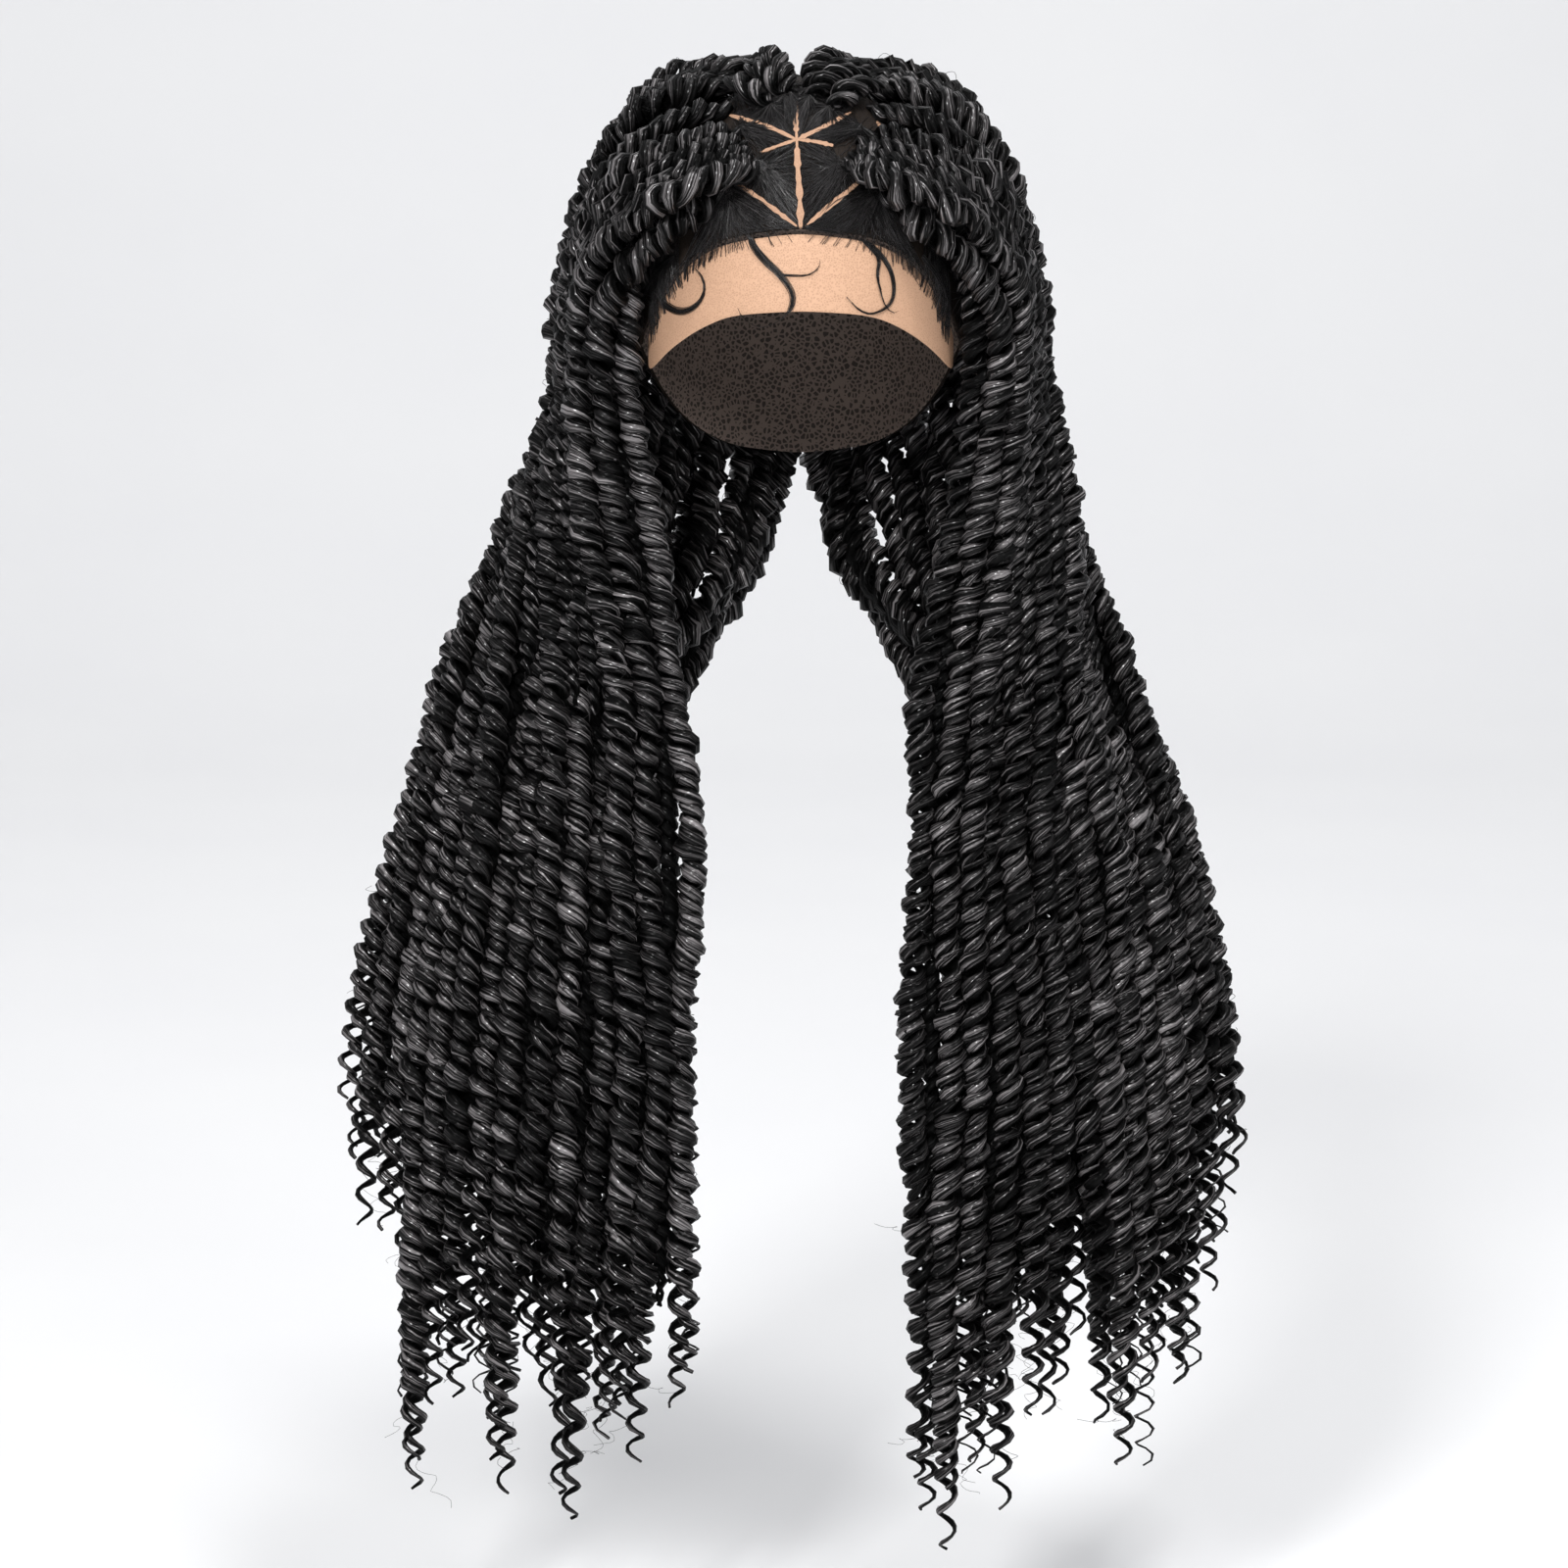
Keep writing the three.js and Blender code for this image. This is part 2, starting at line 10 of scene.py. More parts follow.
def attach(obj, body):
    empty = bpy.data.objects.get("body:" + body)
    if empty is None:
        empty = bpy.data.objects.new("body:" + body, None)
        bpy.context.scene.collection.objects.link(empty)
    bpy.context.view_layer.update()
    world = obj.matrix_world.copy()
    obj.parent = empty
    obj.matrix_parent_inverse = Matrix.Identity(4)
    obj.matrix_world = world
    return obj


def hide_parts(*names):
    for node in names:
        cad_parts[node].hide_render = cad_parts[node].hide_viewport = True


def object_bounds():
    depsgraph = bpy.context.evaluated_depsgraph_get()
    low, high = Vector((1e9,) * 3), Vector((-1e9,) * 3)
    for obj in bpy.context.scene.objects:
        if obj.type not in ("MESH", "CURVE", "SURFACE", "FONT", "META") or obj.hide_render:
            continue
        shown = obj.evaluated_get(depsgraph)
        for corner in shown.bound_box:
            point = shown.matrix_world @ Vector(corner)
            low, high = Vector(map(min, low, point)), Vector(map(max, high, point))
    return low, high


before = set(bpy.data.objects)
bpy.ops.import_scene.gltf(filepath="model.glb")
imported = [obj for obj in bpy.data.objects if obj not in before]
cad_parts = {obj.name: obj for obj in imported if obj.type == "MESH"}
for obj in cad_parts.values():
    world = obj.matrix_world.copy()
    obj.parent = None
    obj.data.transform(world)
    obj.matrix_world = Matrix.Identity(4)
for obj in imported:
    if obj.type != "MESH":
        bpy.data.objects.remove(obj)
cad_low, cad_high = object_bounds()

# The photograph's view: the wig held up level, seen from a little above its middle against a
# pale, evenly lit ground. Distances in the picture hold in the plane through the crown, where
# the matched row lies that far below the crown.
picture_size = 1600
pixel_mm = 0.45
pixel = pixel_mm / 1000
middle_column = 817
matched_row = 345
matched_below_crown_mm = 117.2
crown_row = matched_row - matched_below_crown_mm / pixel_mm
sensor_width = 36
view_elevation = math.radians(9)
view_distance = 2.4
view_up = Vector((0, math.sin(view_elevation), math.cos(view_elevation)))
view_ahead = Vector((0, math.cos(view_elevation), -math.sin(view_elevation)))

camera = bpy.data.objects.new("camera", bpy.data.cameras.new("camera"))
camera.data.sensor_width = sensor_width
camera.data.lens = sensor_width * view_distance / (picture_size * pixel)
camera.data.clip_end = 20
aim = Vector(((picture_size / 2 - middle_column) * pixel, 0, 0))
aim += view_up * (crown_row - picture_size / 2) * pixel
camera.location = aim - view_ahead * view_distance
camera.rotation_euler = (math.pi / 2 - view_elevation, 0, 0)
bpy.context.scene.collection.objects.link(camera)
bpy.context.scene.camera = camera
bpy.context.scene.view_settings.view_transform = "Standard"


class Wire:
    """A value in a node tree. Arithmetic on it adds Math nodes."""

    def __init__(self, graph, socket):
        self.graph = graph
        self.socket = socket

    def other(self, name):
        return Wire(self.graph, self.socket.node.outputs[name])

    def math(self, operation, *others):
        values = dict(enumerate((self, *others)))
        return self.graph.node("ShaderNodeMath", {"operation": operation}, values)

    def vector(self, operation, *others):
        values = dict(enumerate((self, *others)))
        return self.graph.node("ShaderNodeVectorMath", {"operation": operation}, values)

    def __add__(self, other):
        return self.math("ADD", other)

    def __sub__(self, other):
        return self.math("SUBTRACT", other)

    def __rsub__(self, other):
        return (self * -1) + other

    def __mul__(self, other):
        return self.math("MULTIPLY", other)

    def clamped(self):
        return self.math("MINIMUM", 1.0).math("MAXIMUM", 0.0)

    __radd__ = __add__


class Graph:
    """A node tree of a material or of Geometry Nodes, built one node at a time."""

    def __init__(self, tree):
        self.tree = tree

    def node(self, kind, settings=None, values=None, output=0):
        made = self.tree.nodes.new(kind)
        for key, value in (settings or {}).items():
            setattr(made, key, value)
        for key, value in (values or {}).items():
            self.feed(made.inputs[key], value)
        return Wire(self, made.outputs[output])

    def feed(self, socket, value):
        if isinstance(value, Wire):
            self.tree.links.new(value.socket, socket)
        else:
            socket.default_value = value

    def mix(self, share, low, high):
        return self.node("ShaderNodeMix", {"data_type": "RGBA"}, {0: share, 6: low, 7: high}, 2)


def finish_of(colour, roughness, bump=None, depth=0.0, **constants):
    """Ends a material: a shader with its colour, roughness and bump, made by the caller."""
    graph = colour.graph
    shader = graph.tree.nodes.new("ShaderNodeBsdfPrincipled")
    graph.feed(shader.inputs["Base Color"], colour)
    graph.feed(shader.inputs["Roughness"], roughness)
    if bump is not None:
        raised = graph.node("ShaderNodeBump", None, {"Height": bump, "Distance": depth})
        graph.feed(shader.inputs["Normal"], raised)
    for key, value in constants.items():
        graph.feed(shader.inputs[key.replace("_", " ")], value)
    output = graph.tree.nodes.new("ShaderNodeOutputMaterial")
    graph.tree.links.new(shader.outputs[0], output.inputs["Surface"])


def new_material(name):
    material = bpy.data.materials.new(name)
    material.use_nodes = True
    material.node_tree.nodes.clear()
    return Graph(material.node_tree)


def noise_of(graph, place, scale, detail=2.0, rough=0.5):
    values = {"Vector": place, "Scale": scale, "Detail": detail, "Roughness": rough}
    return graph.node("ShaderNodeTexNoise", None, values)


# The ground is a pale sheet that bends up into a wall far behind, under large soft lights.
ground = new_material("pale_ground")
grain = noise_of(ground, ground.node("ShaderNodeTexCoord", output=3), 3.0)
ground_colour = ground.mix(grain, (0.74, 0.74, 0.75, 1), (0.78, 0.78, 0.78, 1))
finish_of(ground_colour, 0.85)

floor_drop = 0.06
floor_level = cad_low.z - floor_drop
ground_reach = 6.0
bend_start = 2.6
bend_radius = 1.4
wall_top = 5.0
sweep = bmesh.new()
profile = [(-ground_reach, 0.0), (bend_start, 0.0)]
for step in range(1, 10):
    angle = math.radians(10 * step)
    profile.append((bend_start + math.sin(angle) * bend_radius,
                    bend_radius - math.cos(angle) * bend_radius))
profile.append((bend_start + bend_radius, wall_top))
edges = [[sweep.verts.new((x, y, floor_level + z)) for x in (-ground_reach, ground_reach)]
         for y, z in profile]
for near, far in zip(edges, edges[1:]):
    sweep.faces.new((near[0], near[1], far[1], far[0]))
sweep_mesh = bpy.data.meshes.new("ground")
sweep.to_mesh(sweep_mesh)
sweep.free()
for face in sweep_mesh.polygons:
    face.use_smooth = True
sweep_mesh.materials.append(bpy.data.materials["pale_ground"])
ground_piece = bpy.data.objects.new("ground", sweep_mesh)
bpy.context.scene.collection.objects.link(ground_piece)

world = bpy.data.worlds.new("room")
bpy.context.scene.world = world
world.use_nodes = True
background = world.node_tree.nodes["Background"]
background.inputs["Color"].default_value = (0.93, 0.95, 1.0, 1)
background.inputs["Strength"].default_value = 0.36


def soft_light(name, place, size, power, target=(0, 0, -0.25)):
    data = bpy.data.lights.new(name, "AREA")
    data.size = size
    data.energy = power
    light = bpy.data.objects.new(name, data)
    light.location = place
    light.rotation_euler = (Vector(target) - Vector(place)).to_track_quat("-Z", "Y").to_euler()
    bpy.context.scene.collection.objects.link(light)


soft_light("key", (-0.7, -2.3, 1.2), 0.45, 58)
soft_light("fill", (1.5, -2.0, 0.5), 0.5, 14)
soft_light("top", (0.3, -0.7, 1.5), 0.4, 18)
soft_light("low_front", (0.05, -2.2, -0.65), 0.6, 9, (0, 0, -0.1))
soft_light("ground_wash", (0, 1.5, 2.8), 3.0, 80, (0, 3.3, 0.0))

# The lace cap is a dark brown stretch net, sewn to a dome, that the hair is tied to. The lace
# front is a strip of finer, skin-coloured net sewn to the front of its rim, bare of hair.


def piece_of(name, mesh, nodes, material=None):
    """A finished piece that stands for the named solids."""
    piece = bpy.data.objects.new(name, mesh)
    bpy.context.scene.collection.objects.link(piece)
    if material:
        mesh.materials.clear()
        mesh.materials.append(bpy.data.materials[material])
    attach(piece, "root")
    if nodes:
        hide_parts(*nodes)
    return piece


merge_distance = 0.00002


def solid_form(node):
    """A solid's mesh with its shared corners merged."""
    form = bmesh.new()
    form.from_mesh(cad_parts[node].data)
    bmesh.ops.remove_doubles(form, verts=form.verts, dist=merge_distance)
    return form


def smooth_copy(node, levels):
    """The solid's own shape with its facets rounded."""
    form = solid_form(node)
    bmesh.ops.join_triangles(
        form, faces=form.faces, angle_face_threshold=math.radians(40),
        angle_shape_threshold=math.radians(60))
    mesh = bpy.data.meshes.new(node + "_smooth")
    form.to_mesh(mesh)
    form.free()
    holder = bpy.data.objects.new(node + "_smooth", mesh)
    bpy.context.scene.collection.objects.link(holder)
    rounding = holder.modifiers.new("rounding", "SUBSURF")
    rounding.levels = levels
    rounding.render_levels = levels
    shown = holder.evaluated_get(bpy.context.evaluated_depsgraph_get())
    smooth = bpy.data.meshes.new_from_object(shown)
    bpy.data.objects.remove(holder)
    for face in smooth.polygons:
        face.use_smooth = True
    return smooth


net_scale = 420.0
net_thread = 0.16
net = new_material("stretch_net")
net_place = net.node("ShaderNodeTexCoord", output=3)
cells = net.node("ShaderNodeTexVoronoi", {"feature": "DISTANCE_TO_EDGE"},
                 {"Vector": net_place, "Scale": net_scale})
threads = cells.math("LESS_THAN", net_thread)
net_colour = net.mix(threads, (0.03, 0.022, 0.018, 1), (0.16, 0.12, 0.1, 1))
finish_of(net_colour, 0.85, threads, 0.0002)
piece_of("lace_cap_net", smooth_copy("lace_cap", 2), ["lace_cap"], "stretch_net")

lace_scale = 900.0
lace_thread = 0.2
lace = new_material("sheer_lace")
lace_place = lace.node("ShaderNodeTexCoord", output=3)
mesh_cells = lace.node("ShaderNodeTexVoronoi", {"feature": "DISTANCE_TO_EDGE"},
                       {"Vector": lace_place, "Scale": lace_scale})
lace_threads = mesh_cells.math("LESS_THAN", lace_thread)
blotches = noise_of(lace, lace_place, 40.0, 3.0)
lace_tone = lace.mix(blotches, (0.38, 0.218, 0.132, 1), (0.46, 0.272, 0.168, 1))
lace_colour = lace.mix(lace_threads, lace_tone, (0.5, 0.3, 0.19, 1))
finish_of(lace_colour, 0.7, lace_threads, 0.0001)
lace_front = piece_of("lace_front_net", smooth_copy("lace_front", 3),
                      ["lace_front"], "sheer_lace")

# The base under the twists is straight black hair, tied hair by hair through the net of the
# cap and pressed flat, from the hairline to the nape.

bed = new_material("flat_hair")
bed_place = bed.node("ShaderNodeTexCoord", output=3)
bed_grain = noise_of(bed, bed_place.vector("MULTIPLY", (900.0, 250.0, 250.0)), 1.0, 3.0, 0.7)
bed_colour = bed.mix(bed_grain, (0.004, 0.003, 0.0025, 1), (0.02, 0.013, 0.009, 1))
finish_of(bed_colour, 0.7, bed_grain, 0.0008, Specular_IOR_Level=0.15)
base = piece_of("flat_hair_base", smooth_copy("scalp_hair", 2), ["scalp_hair"],
                "flat_hair")

# The twists: each is two loose strands of fine black fibre wound round each other, knotted
# to the cap at its root. Towards its end the strands part and spring into corkscrew curls.


def solid_line(node):
    """Centre points and radii of a twist's solid, root first, from its rings of corners."""
    form = solid_form(node)
    tip = min(form.verts, key=lambda corner: corner.co.z)
    rings = [[tip]]
    seen = {tip}
    while rings[-1]:
        ring = []
        for corner in rings[-1]:
            for edge in corner.link_edges:
                near = edge.other_vert(corner)
                if near not in seen:
                    seen.add(near)
                    ring.append(near)
        rings.append(ring)
    rings.pop()
    line = []
    for ring in reversed(rings):
        centre = sum((corner.co for corner in ring), Vector()) / len(ring)
        radius = sum((corner.co - centre).length for corner in ring) / len(ring)
        line.append((centre, radius))
    form.free()
    return line


def spline_point(line, index, share):
    """A point and radius between two rings, on a curve through the rings."""
    a, b, c, d = (line[min(max(index + k, 0), len(line) - 1)][0] for k in (-1, 0, 1, 2))
    reach = (c - b).length
    into = (c - a).normalized() * reach
    out = (d - b).normalized() * reach
    s2, s3 = share ** 2, share ** 3
    point = b * (2 * s3 - 3 * s2 + 1) + c * (3 * s2 - 2 * s3)
    point += into * (s3 - 2 * s2 + share) + out * (s3 - s2)
    radius = line[index][1] + (line[index + 1][1] - line[index][1]) * share
    return point, radius


def even_line(line, step):
    """The same line with a point about every step."""
    points = []
    for index in range(len(line) - 1):
        count = max(1, round((line[index + 1][0] - line[index][0]).length / step))
        points += [spline_point(line, index, k / count) for k in range(count)]
    points.append(line[-1])
    return points


class Guides:
    """Guide lines for strands of hair: points with a strand thickness, the distance at which
    the strand circles the line, and how far round it is there."""

    def __init__(self):
        self.points = []
        self.edges = []
        self.values = {"thickness": [], "orbit": [], "turn": [], "shade": []}

    def add(self, points, thickness, orbit=None, turn=None, shade=0.5):
        first = len(self.points)
        count = len(points)
        self.points += [tuple(point) for point in points]
        self.edges += [(first + k, first + k + 1) for k in range(count - 1)]
        self.values["thickness"] += thickness
        self.values["orbit"] += orbit or [0.0] * count
        self.values["turn"] += turn or [0.0] * count
        self.values["shade"] += [shade] * count

    def mesh(self, name):
        mesh = bpy.data.meshes.new(name)
        mesh.from_pydata(self.points, self.edges, [])
        for key, numbers in self.values.items():
            mesh.attributes.new(key, "FLOAT", "POINT").data.foreach_set("value", numbers)
        return mesh


bead_height = 0.2


def strand_tree():
    """Geometry Nodes that turn guide lines into closed strands of hair."""
    tree = bpy.data.node_groups.new("strands", "GeometryNodeTree")
    face = tree.interface
    face.new_socket("Guides", in_out="INPUT", socket_type="NodeSocketGeometry")
    face.new_socket("Step", in_out="INPUT", socket_type="NodeSocketFloat")
    face.new_socket("Sides", in_out="INPUT", socket_type="NodeSocketInt")
    face.new_socket("Material", in_out="INPUT", socket_type="NodeSocketMaterial")
    face.new_socket("Strands", in_out="OUTPUT", socket_type="NodeSocketGeometry")
    graph = Graph(tree)
    given = graph.node("NodeGroupInput")

    def number(name):
        return graph.node("GeometryNodeInputNamedAttribute", {"data_type": "FLOAT"},
                          {"Name": name})

    def scaled(vector, factor):
        return graph.node("ShaderNodeVectorMath", {"operation": "SCALE"},
                          {0: vector, "Scale": factor})

    def kept(geometry, kind, name, value):
        return graph.node("GeometryNodeStoreNamedAttribute",
                          {"data_type": kind, "domain": "POINT"},
                          {"Geometry": geometry, "Name": name, "Value": value})

    curve = graph.node("GeometryNodeMeshToCurve", None, {0: given.other("Guides")})
    curve = graph.node("GeometryNodeCurveSplineType", {"spline_type": "CATMULL_ROM"},
                       {"Curve": curve})
    curve = graph.node("GeometryNodeResampleCurve", {"mode": "LENGTH"},
                       {"Curve": curve, "Length": given.other("Step")})
    along = graph.node("GeometryNodeSplineParameter").other("Length")
    curve = kept(curve, "FLOAT", "along", along)
    centre = graph.node("GeometryNodeInputPosition")
    curve = kept(curve, "FLOAT_VECTOR", "centre", centre)
    ahead = graph.node("GeometryNodeInputTangent")
    across = graph.node("GeometryNodeInputNormal")
    turn = number("turn")
    swing = scaled(across, turn.math("COSINE"))
    sway = scaled(ahead.vector("CROSS_PRODUCT", across), turn.math("SINE"))
    offset = scaled(swing.vector("ADD", sway), number("orbit"))
    curve = graph.node("GeometryNodeSetPosition", None, {"Geometry": curve, "Offset": offset})
    ring = graph.node("GeometryNodeCurvePrimitiveCircle", None,
                      {"Resolution": given.other("Sides"), "Radius": 1.0})
    around = graph.node("GeometryNodeSplineParameter").other("Factor") * (2 * math.pi)
    ring = kept(ring, "FLOAT", "around", around)
    beaded = number("thickness") * (1 + (number("turn") * 2).math("SINE") * bead_height)
    body = graph.node("GeometryNodeCurveToMesh", None,
                      {"Curve": curve, "Profile Curve": ring, "Scale": beaded,
                       "Fill Caps": True})
    angle = number("around")
    fibre = graph.node("ShaderNodeCombineXYZ", None,
                       {0: angle.math("COSINE"), 1: angle.math("SINE"), 2: number("along")})
    body = kept(body, "FLOAT_VECTOR", "fibre", fibre)
    # Relief is how far a point stands out from the twist's line, as a share of its outermost
    # reach; the hair material paints shade in the grooves where it is low.
    middle = graph.node("GeometryNodeInputNamedAttribute", {"data_type": "FLOAT_VECTOR"},
                        {"Name": "centre"})
    apart = graph.node("ShaderNodeVectorMath", {"operation": "DISTANCE"},
                       {0: graph.node("GeometryNodeInputPosition"), 1: middle}).other("Value")
    relief = apart.math("DIVIDE", number("orbit") + number("thickness"))
    body = kept(body, "FLOAT", "relief", relief)
    for name in ("along", "around", "orbit", "turn", "thickness", "centre"):
        body = graph.node("GeometryNodeRemoveAttribute", None, {"Geometry": body, "Name": name})
    body = graph.node("GeometryNodeSetShadeSmooth", None, {"Geometry": body})
    body = graph.node("GeometryNodeRealizeInstances", None, {"Geometry": body})
    body = graph.node("GeometryNodeSetMaterial", None,
                      {"Geometry": body, "Material": given.other("Material")})
    result = tree.nodes.new("NodeGroupOutput")
    tree.links.new(body.socket, result.inputs[0])
    return tree


strands = strand_tree()


def strand_piece(name, guides, step, sides, nodes=()):
    """One piece of many strands along its guide lines."""
    holder = bpy.data.objects.new(name + "_guides", guides.mesh(name + "_guides"))
    bpy.context.scene.collection.objects.link(holder)
    sweep = holder.modifiers.new("sweep", "NODES")
    sweep.node_group = strands
    wanted = {"Step": step, "Sides": sides, "Material": bpy.data.materials["hair_fibre"]}
    for item in strands.interface.items_tree:
        if item.in_out == "INPUT" and item.name in wanted:
            sweep[item.identifier] = wanted[item.name]
    shown = holder.evaluated_get(bpy.context.evaluated_depsgraph_get())
    mesh = bpy.data.meshes.new_from_object(shown)
    mesh.name = name
    bpy.data.objects.remove(holder)
    return piece_of(name, mesh, nodes)


hair = new_material("hair_fibre")
fibre_place = hair.node("ShaderNodeAttribute", {"attribute_name": "fibre"}).other("Vector")
shade = hair.node("ShaderNodeAttribute", {"attribute_name": "shade"}).other("Fac")
own_place = hair.node("ShaderNodeCombineXYZ", None,
                      {0: shade * 37, 1: shade * 91, 2: shade * 53})
lock_scale = (1.4, 1.4, 70.0)
fibre_scale = (3.6, 3.6, 70.0)
locks_place = fibre_place.vector("MULTIPLY", lock_scale).vector("ADD", own_place)
fibres_place = fibre_place.vector("MULTIPLY", fibre_scale).vector("ADD", own_place)
locks = ((noise_of(hair, locks_place, 1.0, 2.0, 0.6) - 0.5) * 4.0 + 0.45).clamped()
fibres = ((noise_of(hair, fibres_place, 1.0, 2.5, 0.65) - 0.5) * 5.0 + 0.5).clamped()
# Painted shade in the grooves: where a point lies deep between the two strands of a twist, relief
# is low and its colour is kept black.
relief = hair.node("ShaderNodeAttribute", {"attribute_name": "relief"}).other("Fac")
groove_end = 0.7
clear_of_groove_shade = ((relief - groove_end) * 3.9).clamped()
# Painted highlight: the colour turns from near black to grey in streaks along the fibres, on the
# tops of the bumps, where a highlight would fall. The same shine also sets the coat.
shine = (locks * 0.9 + 0.1) * fibres * (shade * 0.8 + 0.65) * clear_of_groove_shade
painted_glint = (shine * shine * 2.3).math("MINIMUM", 1.0)
hair_colour = hair.mix(painted_glint, (0.0003, 0.0003, 0.0003, 1), (0.2, 0.185, 0.187, 1))
finish_of(hair_colour, 0.55 - shine * 0.3, locks * 0.6 + fibres * 0.6, 0.002,
          Specular_IOR_Level=0.08, Coat_Weight=shine.math("MINIMUM", 1.0), Coat_Roughness=0.22)

guide_step = 0.005
pitch = 0.0134
per_side = 28
front_count = 14
groups = (("front", 1, front_count), ("back", front_count + 1, per_side))
full_bodies = {"front": 0.0061, "back": 0.0065}
details = {"front": (0.0016, 7), "back": (0.0022, 6)}
strand_share = 0.45
orbit_share = 0.63
lump_height = 0.0036
root_length = 0.03
tip_gap = 0.005
tip_length = 0.1
curl_tip, curl_swell = 0.0007, 0.0029
curl_orbit, curl_widening = 0.0034, 0.0014
crown_end = -0.09
crown_wander = 0.0034
hang_wander = 0.002
hands = {"left": 1, "right": -1}
chance = random.Random(7)
# noise_vector takes its offsets from this seed, or from the clock where none is set.
noise.seed_set(7)
twist_lines = {}


def twist_name(side, number):
    return f"twist_{side}_{number:02d}"


def winding(hand, turn_length):
    """The angle that a strand winds round its line over one guide step."""
    return hand * 2 * math.pi * guide_step / turn_length


def aside(behind):
    """A random level direction, more often to the front than to the back."""
    return Vector((chance.uniform(-1, 1), chance.uniform(-1, behind), 0)).normalized()


for side, hand in hands.items():
    for group, first, last in groups:
        guides = Guides()
        nodes = [twist_name(side, number) for number in range(first, last + 1)]
        for node in nodes:
            line = even_line(solid_line(node), guide_step)
            twist_lines[node] = line
            lengths = [0.0]
            for (a, _), (b, _) in zip(line, line[1:]):
                lengths.append(lengths[-1] + (b - a).length)
            total = lengths[-1]
            start = chance.uniform(0, 2 * math.pi)
            apart = aside(0.4)
            tone = chance.random()
            beside = chance.choice((0, 2.2, 2.8))
            full_body = full_bodies[group] * chance.uniform(0.94, 1.07)
            for half in (0, 1):
                end = total - (tip_gap if half == 0 else chance.uniform(0.01, 0.05))
                drift = apart * (chance.uniform(-0.002, 0.002) if half == 0
                                 else chance.uniform(0.005, 0.011))
                points, thickness, orbit, turns = [], [], [], []
                angle = start + half * math.pi
                curl_length = chance.uniform(0.13, 0.23)
                for (point, radius), at in zip(line, lengths):
                    if at > end:
                        break
                    curl = max(0.0, (at - (total - curl_length)) / curl_length)
                    curl = curl * curl * (3 - 2 * curl)
                    left_over = min(1.0, (end - at) / tip_length)
                    seed_place = Vector((half * 9, 0, tone * 50))
                    lump = noise.noise(point * 140 + seed_place)
                    wander = noise.noise_vector(point * 60 + seed_place) * (
                        crown_wander if point.z > crown_end else hang_wander)
                    body = full_body + lump_height * lump
                    full = min(1.0, 0.45 + at / root_length)
                    points.append(point + drift * curl + wander * full * (1 - curl))
                    thickness.append(body * full * strand_share * (1 - curl) + curl * (
                        curl_tip + curl_swell * left_over))
                    orbit.append(body * full * orbit_share * (1 - curl) + curl * (
                        curl_orbit + curl_widening * left_over))
                    turns.append(angle - half * beside * curl)
                    local = pitch * (1 + 0.45 * noise.noise(point * 45 + Vector((tone, 0, 0))))
                    angle += winding(hand, local)
                guides.add(points, thickness, orbit, turns, tone)
        strand_piece(f"twists_{side}_{group}", guides, *details[group], nodes)

# Twists of the inner layers, of the same fibre and knotted to the cap in rows behind the outer
# ones. They only show where the outer twists part: in the curtains, behind them and at the crown.
# Those in the curtains and at the back get a low tone, painted shade that makes the gaps between
# the outer columns near black; those at the crown keep an ordinary tone.

curtain_top = -0.15
back_top = -0.11
back_points = 46
crown_points = 64
crown_fills = (
    # the upper twist, the lower twist and the share of the way from one to the other
    (17, 13, 0.5), (13, 9, 0.35), (13, 9, 0.7), (9, 6, 0.5), (17, 13, 0.15),
    (10, 13, 0.5), (14, 13, 0.5), (6, 3, 0.3), (6, 3, 0.6), (6, 3, 0.85),
)
inner_strand_share = 0.5
inner_orbit_share = 0.56
inner_tip_length = 0.03


def at_height(line, height):
    """The point where a line passes a height, past its first part over the crown."""
    for (a, _), (b, _) in zip(line[20:], line[21:]):
        if a.z >= height > b.z:
            return a.lerp(b, (a.z - height) / (a.z - b.z))
    return None


def columns_of(side, first, last, height):
    """The lines of some twists, sorted from the middle of the wig outwards."""
    columns = [twist_lines[twist_name(side, k)] for k in range(first, last + 1)]
    return sorted(columns, key=lambda line: abs(at_height(line, height).x))


